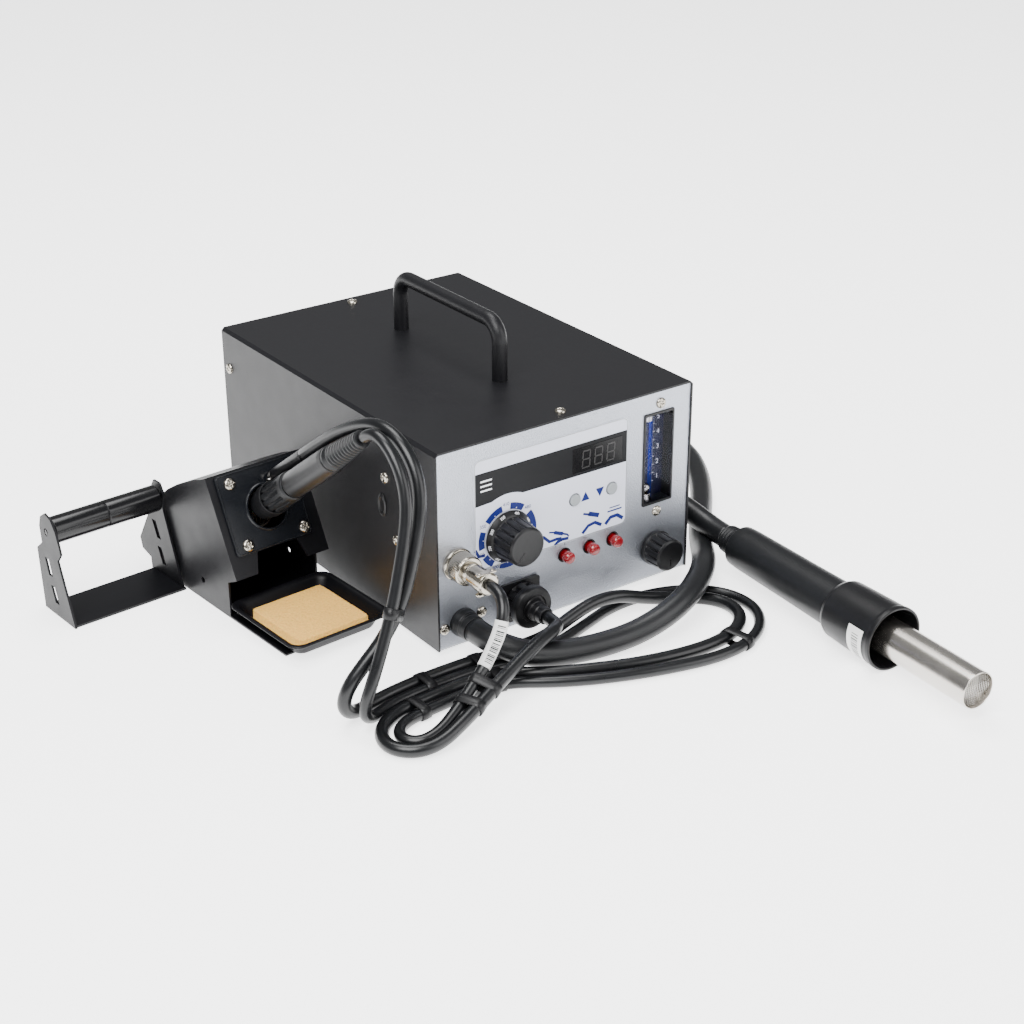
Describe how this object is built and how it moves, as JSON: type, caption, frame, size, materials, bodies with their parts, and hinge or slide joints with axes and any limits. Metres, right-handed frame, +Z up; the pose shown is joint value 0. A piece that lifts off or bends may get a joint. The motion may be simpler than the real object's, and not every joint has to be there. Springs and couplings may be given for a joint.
{
  "type": "soldering iron station",
  "caption": "Soldering and hot-air station with a black steel case, front controls and flow meter, an iron in its holder with sponge tray and solder spool bracket, and a hot-air gun.",
  "frame": {"origin": "bottom centre of the station's box, measured without its cords", "axes": "+Y to the back of the case, +X to the right seen from the front, +Z up"},
  "size_m": [0.466, 0.4835, 0.1708],
  "materials": {
    "case_paint": "satin",
    "stand_paint": "satin",
    "panel_silver": "satin",
    "zinc_sheet": "satin",
    "nickel": "gloss",
    "stainless": "satin",
    "label_film": "satin",
    "black_plastic": "matte",
    "knob_black": "satin",
    "red_plastic": "gloss",
    "grey_plastic": "satin",
    "black_rubber": "matte",
    "clear_acrylic": "gloss",
    "ball_steel": "gloss",
    "sponge_cellulose": "matte",
    "roller_black": "gloss",
    "marker_white": "satin",
    "ceramic_white": "matte",
    "led_dark": "gloss",
    "board_green": "satin",
    "copper_iron": "matte"
  },
  "bodies": {
    "root": {"air_pump": "black_plastic", "bezel_screws": "nickel", "cable_clips": "black_rubber", "cable_marker": "marker_white", "carry_handle": "case_paint", "case_screws": "nickel", "chassis": "zinc_sheet", "flow_meter": "clear_acrylic", "flow_plugs": "nickel", "front_label": "label_film", "front_panel": "panel_silver", "holder_bezel": "stand_paint", "holder_frame": "stand_paint", "hose_gland": "black_rubber", "hot_air_hose": "black_rubber", "iron_cable": "black_rubber", "iron_plug": "nickel", "iron_socket": "nickel", "led_display": "led_dark", "main_board": "board_green", "mains_inlet": "black_plastic", "pot_body": "zinc_sheet", "rubber_feet": "black_rubber", "side_plug": "black_rubber", "smoke_port": "black_plastic", "smoke_tube": "black_rubber", "spool_bracket": "stand_paint", "stand_body": "stand_paint", "switch_bodies": "black_plastic", "top_cover": "case_paint", "transformer": "copper_iron", "valve_body": "nickel", "wire_guard": "stainless"},
    "temp_knob_body": {"temp_knob": "knob_black", "pot_shaft": "zinc_sheet"},
    "air_knob_body": {"air_knob": "knob_black", "valve_stem": "zinc_sheet"},
    "iron_button_body": {"iron_button": "red_plastic"},
    "air_button_body": {"air_button": "red_plastic"},
    "smoke_button_body": {"smoke_button": "red_plastic"},
    "up_button_body": {"up_button": "grey_plastic"},
    "down_button_body": {"down_button": "grey_plastic"},
    "flow_ball_body": {"flow_ball": "ball_steel"},
    "plug_ring_body": {"plug_ring": "nickel"},
    "smoke_cap_body": {"smoke_cap": "black_plastic"},
    "roller_body": {"spool_roller": "roller_black"},
    "tray_body": {"sponge_tray": "stand_paint"},
    "sponge_body": {"sponge": "sponge_cellulose"},
    "iron": {"iron_grip": "black_rubber", "iron_handle": "black_plastic", "iron_boot": "black_rubber", "iron_tip": "stainless", "smoke_pipe": "stainless"},
    "gun": {"gun_sleeve": "black_rubber", "gun_handle": "black_rubber", "gun_collar": "black_plastic", "nozzle_tube": "stainless", "heater_core": "ceramic_white"}
  },
  "joints": [
    {"name": "temp_knob_turn", "type": "hinge", "parent": "root", "child": "temp_knob_body", "pos_m": [0.017, -0.0092, 0.0654], "axis": [0, -1, 0], "range_deg": [-270, 0]},
    {"name": "air_knob_turn", "type": "hinge", "parent": "root", "child": "air_knob_body", "pos_m": [0.1289, -0.0092, 0.0247], "axis": [0, -1, 0], "range_deg": [-540, 0]},
    {"name": "iron_button_press", "type": "slide", "parent": "root", "child": "iron_button_body", "axis": [0, 1, 0], "range_m": [0, 0.003], "stiffness_N_per_m": 400},
    {"name": "air_button_press", "type": "slide", "parent": "root", "child": "air_button_body", "axis": [0, 1, 0], "range_m": [0, 0.003], "stiffness_N_per_m": 400},
    {"name": "smoke_button_press", "type": "slide", "parent": "root", "child": "smoke_button_body", "axis": [0, 1, 0], "range_m": [0, 0.003], "stiffness_N_per_m": 400},
    {"name": "up_button_press", "type": "slide", "parent": "root", "child": "up_button_body", "axis": [0, 1, 0], "range_m": [0, 0.0008], "stiffness_N_per_m": 800},
    {"name": "down_button_press", "type": "slide", "parent": "root", "child": "down_button_body", "axis": [0, 1, 0], "range_m": [0, 0.0008], "stiffness_N_per_m": 800},
    {"name": "flow_ball_rise", "type": "slide", "parent": "root", "child": "flow_ball_body", "axis": [0, 0, 1], "range_m": [0, 0.042]},
    {"name": "plug_ring_turn", "type": "hinge", "parent": "root", "child": "plug_ring_body", "pos_m": [-0.019, -0.0092, 0.058], "axis": [0, -1, 0], "range_deg": [0, 360]},
    {"name": "smoke_cap_turn", "type": "hinge", "parent": "root", "child": "smoke_cap_body", "pos_m": [0.025, -0.0092, 0.021], "axis": [0, -1, 0], "range_deg": [0, 90]},
    {"name": "spool_roller_spin", "type": "hinge", "parent": "root", "child": "roller_body", "pos_m": [-0.1921, 0.17201, 0.0555], "axis": [0.9976, 0.0698, 0], "continuous": true},
    {"name": "tray_pull", "type": "slide", "parent": "root", "child": "tray_body", "axis": [0.0698, -0.9976, 0], "range_m": [0, 0.03]},
    {"name": "sponge_lift", "type": "slide", "parent": "tray_body", "child": "sponge_body", "axis": [0, 0, 1], "range_m": [0, 0.03]},
    {"name": "iron_withdraw", "type": "slide", "parent": "root", "child": "iron", "axis": [0.0559, -0.7998, 0.5976], "range_m": [0, 0.1], "deforming": ["iron_cable", "smoke_tube"]},
    {"name": "gun_lift", "type": "slide", "parent": "root", "child": "gun", "axis": [0, 0, 1], "range_m": [0, 0.08], "deforming": ["hot_air_hose"]}
  ]
}
